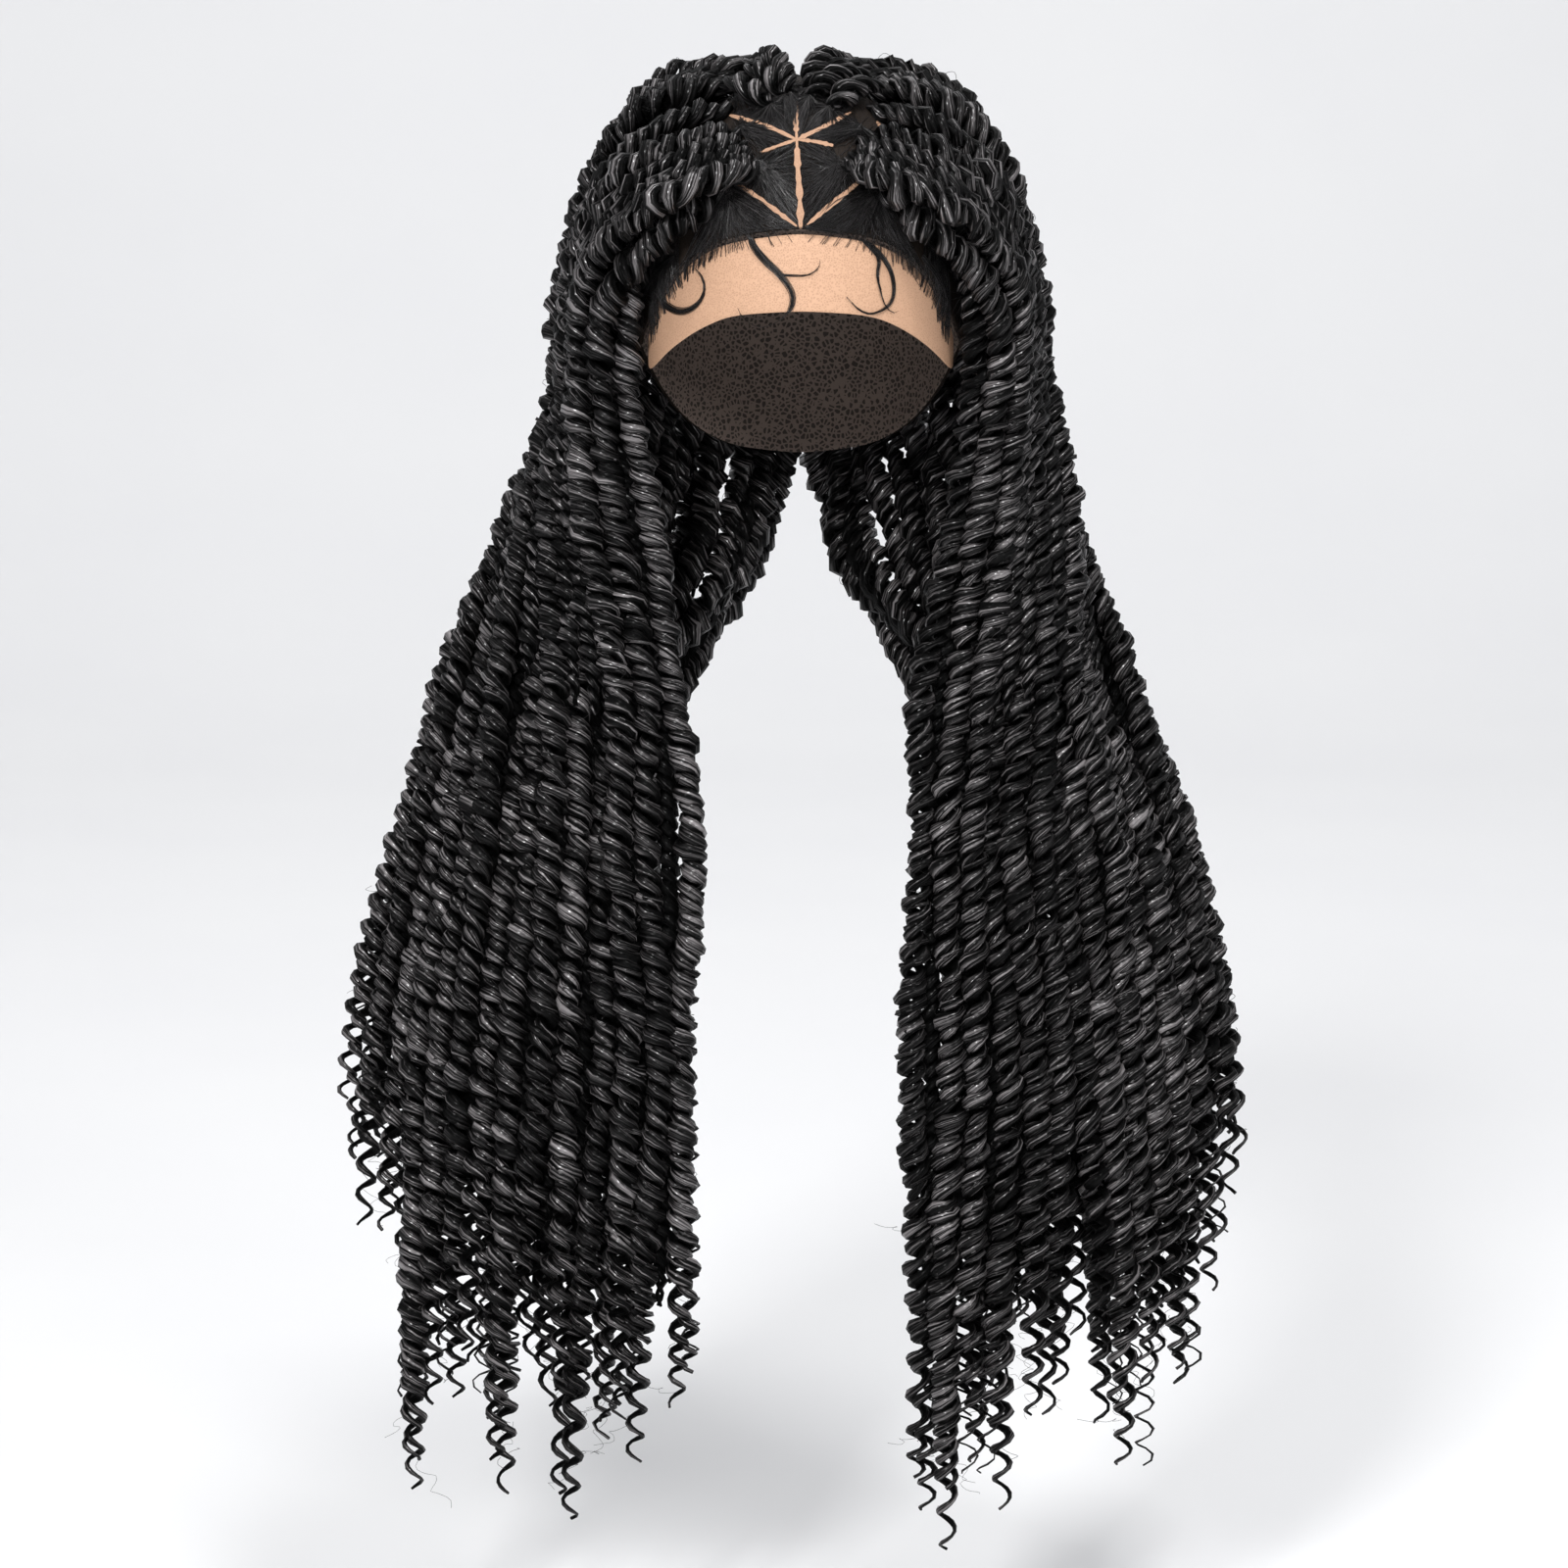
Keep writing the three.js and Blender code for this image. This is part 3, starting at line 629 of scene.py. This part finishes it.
for side, hand in hands.items():
    inner_lines = []
    columns = columns_of(side, 1, front_count, -0.4)
    for near, far in zip(columns, columns[1:]):
        lowest = max(near[-1][0].z, far[-1][0].z) + chance.uniform(0.05, 0.11)
        height = curtain_top
        line = []
        while height > lowest:
            a, b = at_height(near, height), at_height(far, height)
            if a and b:
                line.append((a + b) / 2 + Vector((0, 0.0055, 0)))
            height -= guide_step
        # A low tone is painted shade: these twists in the gaps of the curtain come out near
        # black.
        inner_lines.append((line, 0.0056, 0.03, -0.7))
    columns = columns_of(side, front_count + 1, per_side, -0.3)
    for near, far in zip(columns, columns[1:]):
        heights = [back_top - k * guide_step for k in range(back_points)]
        middle = [(at_height(near, height), at_height(far, height)) for height in heights]
        line = [(a + b) / 2 - Vector((0, 0.004, 0)) for a, b in middle if a and b]
        # These twists behind the back twists get painted shade too.
        inner_lines.append((line, 0.0058, 0.03, -0.5))
    for over, under, share in crown_fills:
        upper = twist_lines[twist_name(side, over)]
        lower = twist_lines[twist_name(side, under)]
        line = [upper[k][0].lerp(lower[k][0], share) - Vector((0, 0, 0.0005))
                for k in range(crown_points)]
        inner_lines.append((line, 0.0056, 0.01, 0.4))
    guides = Guides()
    for line, size, root, tone_and_painted_shade in inner_lines:
        start, tone = chance.uniform(0, 6), tone_and_painted_shade + chance.uniform(-0.2, 0.2)
        for half in (0, 1):
            angle = start + half * math.pi
            thickness, orbit, turns = [], [], []
            for k, point in enumerate(line):
                lump = noise.noise(point * 140 + Vector((half * 9, 0, tone * 50))) * 2
                to_tip = (len(line) - k) * guide_step / inner_tip_length
                ends = min(1.0, 0.4 + k * guide_step / root, to_tip + 0.1)
                body = (size + 0.0014 * lump) * ends
                thickness.append(body * inner_strand_share)
                orbit.append(body * inner_orbit_share)
                turns.append(angle)
                angle += winding(hand, pitch)
            guides.add(line, thickness, orbit, turns, tone)
    strand_piece(f"inner_twists_{side}", guides, 0.003, 5)

# A thin lock of the same fibre is wound loosely over each front twist, in and out of the grooves
# between its two strands. It makes the twists look curly.
lock_pitch = 0.0112
lock_thickness = 0.0012
lock_orbit = 0.0054
for side, hand in hands.items():
    guides = Guides()
    for number in range(1, front_count + 1):
        line = [point for point, _ in twist_lines[twist_name(side, number)]][3:-12]
        angle, tone = chance.uniform(0, 6), chance.random()
        thickness, orbit, turns = [], [], []
        for point in line:
            seed_place = Vector((tone * 70, 0, 0))
            thickness.append(lock_thickness
                             + 0.0012 * noise.noise(point * 90 + seed_place))
            orbit.append(lock_orbit + 0.002 * noise.noise(point * 70 - seed_place))
            turns.append(angle)
            local = lock_pitch * (1 + 0.6 * noise.noise(point * 50 + seed_place * 2))
            angle += winding(hand, local)
        guides.add(line, thickness, orbit, turns, tone)
    strand_piece(f"wound_locks_{side}", guides, 0.0024, 4)

# Thin curls that have come out of the twists near their ends. Each springs out of its twist and
# hangs beside it, thinner and thinner to its tip.
loose_pitch = 0.0125
loose_orbit = 0.0052
for side, hand in hands.items():
    guides = Guides()
    for number in range(1, per_side + 1):
        line = [point for point, _ in twist_lines[twist_name(side, number)]]
        first = len(line) - round(chance.uniform(0.12, 0.24) / guide_step)
        last = len(line) - round(chance.uniform(0.0, 0.075) / guide_step)
        apart = aside(0.3)
        reach = chance.uniform(0.005, 0.013)
        size = chance.uniform(0.0013, 0.0023)
        angle, tone = chance.uniform(0, 6), chance.random()
        points, thickness, orbit, turns = [], [], [], []
        for k in range(first, last):
            share = (k - first) / (last - first)
            points.append(line[k] + apart * reach * share ** 0.7)
            thickness.append(size * (1 - 0.75 * share))
            orbit.append(loose_orbit - 0.0012 * share)
            turns.append(angle)
            seed_place = Vector((tone * 9, 0, 0))
            local = loose_pitch * (1 + 0.3 * noise.noise(line[k] * 30 + seed_place))
            angle += winding(hand, local)
        guides.add(points, thickness, orbit, turns, tone)
    strand_piece(f"loose_curls_{side}", guides, 0.002, 4)

# Fine fibres that have worked loose: short loops that stand off the twists all the way down,
# and long wavy ones round the curly ends.
outer_count = front_count + 4
loops_outer, loops_inner = 36, 14
loop_points = 5
loop_thickness = 0.00013
waves_front, waves_back = 5, 2
wave_points = 10
wave_thickness = 0.0001
for side in hands:
    guides = Guides()
    for number in range(1, per_side + 1):
        line = twist_lines[twist_name(side, number)]
        for _ in range(loops_outer if number <= outer_count else loops_inner):
            index = chance.randrange(2, len(line) - 3)
            point, radius = line[index]
            ahead = (line[index + 1][0] - point).normalized()
            side_way = Vector((chance.uniform(-1, 1), chance.uniform(-1, 1),
                               chance.uniform(-1, 1))).cross(ahead).normalized()
            other = ahead.cross(side_way)
            sweep_angle = chance.uniform(0.8, 2.4)
            out = chance.uniform(0.5, 3.2) / 1000
            climb = chance.uniform(-0.008, 0.008)
            points = []
            for k in range(loop_points):
                share = k / (loop_points - 1)
                angle = sweep_angle * (share - 0.5)
                reach = radius * 0.9 + out * math.sin(math.pi * share)
                points.append(point + (side_way * math.cos(angle) + other * math.sin(angle))
                              * reach + ahead * climb * share)
            guides.add(points, [loop_thickness] * loop_points, shade=chance.random())
        for _ in range(waves_front if number <= front_count else waves_back):
            index = chance.randrange(max(0, len(line) - 30), len(line) - 4)
            point = line[index][0]
            points = []
            drift = Vector((chance.uniform(-0.8, 0.8), chance.uniform(-0.2, 1),
                            chance.uniform(-1.2, 0.3))) * 0.005
            for k in range(wave_points):
                wave = Vector((math.sin(k * 1.5 + index), math.cos(k * 1.9 + number), 0))
                points.append(point + drift * k * 0.5 + wave * 0.003)
            guides.add(points, [wave_thickness] * wave_points, shade=chance.random())
    strand_piece(f"loose_fibres_{side}", guides, 0.0022, 3)

# The part lines: where the hair is combed to both sides, the skin-coloured net that it is tied
# to shows as a narrow line. The lines run from the hairline to a star at the front.

part_lace = new_material("part_lace")
part_place = part_lace.node("ShaderNodeTexCoord", output=3)
part_grain = noise_of(part_lace, part_place, 1400.0, 2.0)
part_colour = part_lace.mix(part_grain, (0.24, 0.13, 0.075, 1), (0.48, 0.285, 0.18, 1))
finish_of(part_colour, 0.75, part_grain, 0.0002)


def surface_tree(*pieces):
    """All faces of some pieces, to find places on them."""
    corners, faces = [], []
    for piece in pieces:
        first = len(corners)
        corners += [vertex.co.copy() for vertex in piece.data.vertices]
        faces += [[first + index for index in face.vertices] for face in piece.data.polygons]
    return BVHTree.FromPolygons(corners, faces)


bed_surface = surface_tree(base)
skin_surface = surface_tree(base, lace_front)
crown_height = 0.116
front_half_width = 0.0785
front_half_depth = 0.0995
front_dome = bmesh.new()
front_rows = []
for height in (-0.05, -0.06, -0.07, -0.08, -0.09, -0.1, -0.11, -0.12, -0.15):
    level = math.sqrt(1 - (max(0.0, crown_height + height) / crown_height) ** 2)
    front_rows.append([front_dome.verts.new((
        front_half_width * level * math.sin(math.radians(degree)),
        -front_half_depth * level * math.cos(math.radians(degree)),
        height)) for degree in range(-64, 65, 4)])
for upper, lower in zip(front_rows, front_rows[1:]):
    for k in range(len(upper) - 1):
        front_dome.faces.new((upper[k], lower[k], lower[k + 1], upper[k + 1]))
front_surface = BVHTree.FromBMesh(front_dome)
front_dome.free()


def seen_on(surface, place):
    """The point and outward direction of a surface at a place in the picture. Where the lace
    leaves a gap, the smooth dome in front of it is taken."""
    ray = view_ahead * view_distance
    ray += Vector((1, 0, 0)) * (place[0] - picture_size / 2) * pixel
    ray -= view_up * (place[1] - picture_size / 2) * pixel
    point, normal, _, _ = surface.ray_cast(camera.location, ray.normalized())
    if surface is skin_surface and (point is None or point.y > 0):
        point, normal, _, _ = front_surface.ray_cast(camera.location, ray.normalized())
    return point, normal


def laid_line(surface, places, count):
    """Even points over a surface along a smooth line through places in the picture."""
    flat = [(Vector((x, y, 0)), 0) for x, y in places]
    line = even_line(flat, 1.5)
    laid = []
    for k in range(count):
        point, _ = line[round(k * (len(line) - 1) / (count - 1))]
        hit, normal = seen_on(surface, point)
        if hit:
            laid.append((hit, normal))
    return laid


def across_line(laid, k):
    """The direction over the surface, square to a laid line at one of its points."""
    ahead = laid[min(k + 1, len(laid) - 1)][0] - laid[max(k - 1, 0)][0]
    return laid[k][1].cross(ahead).normalized()


# Each part line runs through these picture places, as columns and rows.
part_lines = {
    "middle": [(817, 233), (816, 200), (814, 170), (813, 143)],
    "top": [(813, 143), (812, 120), (812, 99)],
    "right_long": [(813, 231), (775, 203), (738, 180), (724, 178)],
    "right_turn": [(740, 181), (727, 185), (714, 194)],
    "right_low": [(813, 143), (795, 149), (776, 156)],
    "right_high": [(813, 143), (782, 129), (745, 118)],
    "left_long": [(822, 231), (858, 201), (893, 176), (911, 180)],
    "left_low": [(813, 143), (832, 145), (850, 149)],
    "left_high": [(813, 143), (842, 129), (868, 115)],
    "left_back": [(815, 98), (826, 91), (838, 86)],
    "left_bit": [(895, 124), (901, 137), (903, 152)],
    "left_temple": [(928, 200), (938, 213), (944, 228)],
}
line_points = 26
middle_half_width = 0.0013
other_half_width = 0.001
line_top = 0.00045
line_under = -0.0004
ribbon = bmesh.new()
for name, places in part_lines.items():
    laid = laid_line(bed_surface, places, line_points)
    if len(laid) < 3:
        continue
    widest = middle_half_width if name == "middle" else other_half_width
    sections = []
    for k, (point, normal) in enumerate(laid):
        across = across_line(laid, k)
        share = k / (len(laid) - 1)
        width = widest * (0.35 + 0.65 * min(1, 6 * min(share, 1 - share) + 0.2))
        width *= 1 + 0.9 * noise.noise(point * 700)
        top = normal * line_top
        under = normal * line_under
        sections.append([ribbon.verts.new(point + across * w + h) for w, h in (
            (-width, under), (-width, top), (width, top), (width, under))])
    for near, far in zip(sections, sections[1:]):
        for k in range(4):
            ribbon.faces.new((near[k], near[(k + 1) % 4], far[(k + 1) % 4], far[k]))
    ribbon.faces.new(sections[0][::-1])
    ribbon.faces.new(sections[-1])
bmesh.ops.recalc_face_normals(ribbon, faces=ribbon.faces)
parts_mesh = bpy.data.meshes.new("part_lines")
ribbon.to_mesh(parts_mesh)
ribbon.free()
piece_of("part_lines", parts_mesh, [], "part_lace")


# The hair round the front is combed flat from the part lines and the hairline to the feet of the
# twists, in small sections. A few short knots of twisted hair stand at the top of the parting.

head_middle = Vector((0, 0, -0.08))
lift_off = 0.012
comb_step = 0.006
foot_rise = 0.003
from_line = 0.0007


def scatter(spread):
    """A small random shift."""
    return Vector([chance.gauss(0, spread) for _ in range(3)])


def comb(guides, surface, start, end, bow):
    """One hair combed flat over the surface from its start to the foot of a twist."""
    points, thickness = [], []
    count = max(4, round((end - start).length / comb_step) + 1)
    side_way = (end - start).cross(start - head_middle).normalized()
    for k in range(count):
        share = k / (count - 1)
        flat = start.lerp(end, share) + side_way * bow * math.sin(math.pi * share)
        flat += (flat - head_middle).normalized() * lift_off
        point, normal, _, _ = surface.find_nearest(flat)
        points.append(point + normal * (0.0003 + foot_rise * share ** 3))
        thickness.append(0.00014 + 0.0001 * share)
    guides.add(points, thickness, shade=chance.random())


right_hairline = [(815, 237), (790, 238), (762, 243), (735, 253), (708, 270), (687, 288),
                  (670, 316), (662, 340)]
left_hairline = [(818, 237), (845, 238), (872, 243), (900, 252), (925, 267), (947, 289),
                 (960, 315), (967, 340)]
# Each row: the side and number of a twist, the part line that its hair starts from, and how
# many hairs are combed from there.
section_edges = [
    ("right", 3, "middle", 150), ("right", 3, "right_low", 60), ("right", 3, "right_long", 110),
    ("right", 6, "right_low", 60), ("right", 6, "right_high", 90),
    ("right", 9, "right_high", 90), ("right", 13, "top", 90),
    ("right", 2, "right_long", 120), ("right", 2, "right_turn", 30),
    ("left", 3, "middle", 150), ("left", 3, "left_low", 60), ("left", 3, "left_long", 110),
    ("left", 6, "left_low", 60), ("left", 6, "left_high", 80),
    ("left", 9, "left_high", 80), ("left", 13, "top", 80), ("left", 13, "left_back", 40),
    ("left", 2, "left_long", 120),
]
# Each row: the part lines that feed a knot, the picture places that it runs through, and how far
# its end stands off the cap.
crown_knots = [
    (["top", "right_high"], [(800, 102), (790, 94), (778, 90), (762, 90), (742, 96)], 0.009),
    (["top"], [(806, 100), (801, 91), (795, 86), (786, 84)], 0.014),
    (["top"], [(803, 94), (790, 85), (774, 83), (758, 84), (736, 88)], 0.011),
    (["right_high"], [(786, 112), (772, 104), (756, 100), (736, 104), (712, 110)], 0.008),
    (["top", "left_back"], [(826, 103), (836, 97), (848, 94), (866, 94), (888, 99)], 0.009),
    (["left_back"], [(823, 96), (829, 89), (838, 85), (850, 85)], 0.013),
    (["left_back"], [(838, 93), (852, 87), (868, 86), (886, 88), (904, 93)], 0.01),
    (["left_high"], [(846, 114), (860, 106), (876, 102), (896, 106), (916, 112)], 0.008),
]
guides = Guides()
knot_feet = []
for edges, places, rise in crown_knots:
    laid = laid_line(bed_surface, places, 14)
    knot_feet.append((edges, laid[0][0]))
    start, tone = chance.uniform(0, 6), chance.random()
    for half in (0, 1):
        points, thickness, turns = [], [], []
        for k, (point, normal) in enumerate(laid):
            share = k / (len(laid) - 1)
            points.append(point + normal * (0.003 + (rise - 0.003) * min(1, share * 1.8)))
            thickness.append(0.0029 * min(1.0, 0.4 + share * 2.4, 1.4 - share))
            turns.append(start + half * math.pi + k * 1.5)
        guides.add(points, thickness, [radius * 1.2 for radius in thickness], turns, tone)
strand_piece("crown_knots", guides, 0.0016, 8)

guides = Guides()
for edges, foot in knot_feet:
    for edge in edges:
        for start, _ in laid_line(bed_surface, part_lines[edge], 60):
            jitter = scatter(0.0005)
            start += (foot - start).normalized() * from_line
            comb(guides, bed_surface, start + jitter, foot, chance.gauss(0, 0.0012))
    for _ in range(60):
        away = scatter(1).normalized() * 0.016
        start, _, _, _ = bed_surface.find_nearest(foot + away)
        comb(guides, bed_surface, start, foot, chance.gauss(0, 0.001))
for side, number, edge, count in section_edges:
    root = twist_lines[twist_name(side, number)][0][0]
    for start, _ in laid_line(bed_surface, part_lines[edge], count):
        jitter, spread = scatter(0.0005), scatter(0.0012)
        start += (root - start).normalized() * from_line
        comb(guides, bed_surface, start + jitter, root + spread, chance.gauss(0, 0.0012))
for side, hairline in (("right", right_hairline), ("left", left_hairline)):
    for start, _ in laid_line(skin_surface, hairline, 300):
        number = 2 if abs(start.x) < 0.055 else 1
        root = twist_lines[twist_name(side, number)][0][0]
        jitter, spread = scatter(0.0015), scatter(0.0016)
        comb(guides, skin_surface, start + jitter, root + spread, chance.gauss(0, 0.002))
for side in hands:
    for number in range(1, per_side + 1):
        root = twist_lines[twist_name(side, number)][0][0]
        for _ in range(40):
            away = scatter(1).normalized()
            away *= chance.uniform(0.012, 0.024)
            start, _, _, _ = bed_surface.find_nearest(root + away + root.normalized() * 0.004)
            comb(guides, bed_surface, start, root, chance.gauss(0, 0.001))
strand_piece("combed_sections", guides, 0.006, 3)

# The short hairs of the hairline, laid on the lace in curls with a brush and gel, and the finer
# ones between them. Each row: the picture places that a curl runs through, how many hairs it has
# and its width in pixels.
curls = [
    ([(762, 234), (770, 252), (782, 267), (796, 281), (806, 295), (809, 305), (806, 316),
      (797, 326), (786, 332), (776, 334), (765, 330), (756, 320), (752, 307)], 22, 2.4),
    ([(796, 281), (810, 282), (825, 281), (835, 274), (837, 264)], 3, 1.0),
    ([(664, 262), (666, 276), (667, 288), (672, 302), (684, 314), (697, 318), (710, 313),
      (719, 300), (719, 287), (712, 276), (706, 272)], 22, 2.2),
    ([(822, 232), (847, 235), (867, 241), (882, 247), (897, 260), (907, 275), (911, 292),
      (909, 307), (900, 316), (887, 320), (875, 315), (863, 303)], 18, 2.4),
    ([(880, 247), (895, 264), (894, 280), (897, 295), (902, 311), (910, 319), (918, 316)],
     8, 1.6),
    ([(935, 235), (947, 247), (960, 262), (975, 280), (981, 295), (986, 312), (989, 330),
      (986, 350)], 32, 5.0),
    ([(690, 262), (674, 274), (664, 290), (657, 312), (652, 335), (650, 352)], 20, 3.0),
    ([(940, 262), (956, 282), (964, 305), (967, 330), (966, 352)], 20, 3.2),
]
curl_fullness = 1.7
curl_width = 1.3
hair_thickness = 0.00024
guides = Guides()
for places, count, width in curls:
    width *= curl_width
    for _ in range(round(count * curl_fullness)):
        off_line = chance.gauss(0, 0.5) * width
        shift = chance.uniform(-0.5, 0.5)
        keep = chance.uniform(0.7, 1.0) if chance.random() < 0.7 else chance.uniform(0.4, 0.7)
        laid = laid_line(skin_surface, places, 26)
        laid = laid[:max(6, round(len(laid) * keep))]
        points, thickness = [], []
        for k, (point, normal) in enumerate(laid):
            share = k / (len(laid) - 1)
            across = across_line(laid, k)
            narrow = math.sin(math.pi * min(1, 0.12 + share)) ** 0.6 if share < 0.9 else 0.3
            height = 0.0005 + 0.0006 * math.cos(off_line * 3) ** 2
            points.append(point + across * (off_line * narrow + shift) * pixel
                          + normal * height)
            thickness.append(hair_thickness * (1 - 0.6 * share))
        guides.add(points, thickness, shade=chance.random())
wisp_thickness = [0.00007, 0.00007, 0.00006, 0.00006, 0.00005, 0.00004]
for hairline in (right_hairline, left_hairline):
    for start, _ in laid_line(skin_surface, hairline, 130):
        reach = chance.uniform(0.0015, 0.0065)
        bend = chance.uniform(-1.4, 1.4)
        heading = chance.uniform(-1.2, 1.2)
        points = []
        spot = start
        for _ in wisp_thickness:
            point, normal, _, _ = skin_surface.find_nearest(spot)
            points.append(point + normal * 0.0007)
            down = Vector((math.sin(heading), 0, -math.cos(heading)))
            spot = point + down * reach / 5
            heading += bend / 4
        guides.add(points, wisp_thickness, shade=chance.random())
strand_piece("hairline_curls", guides, 0.003, 3)
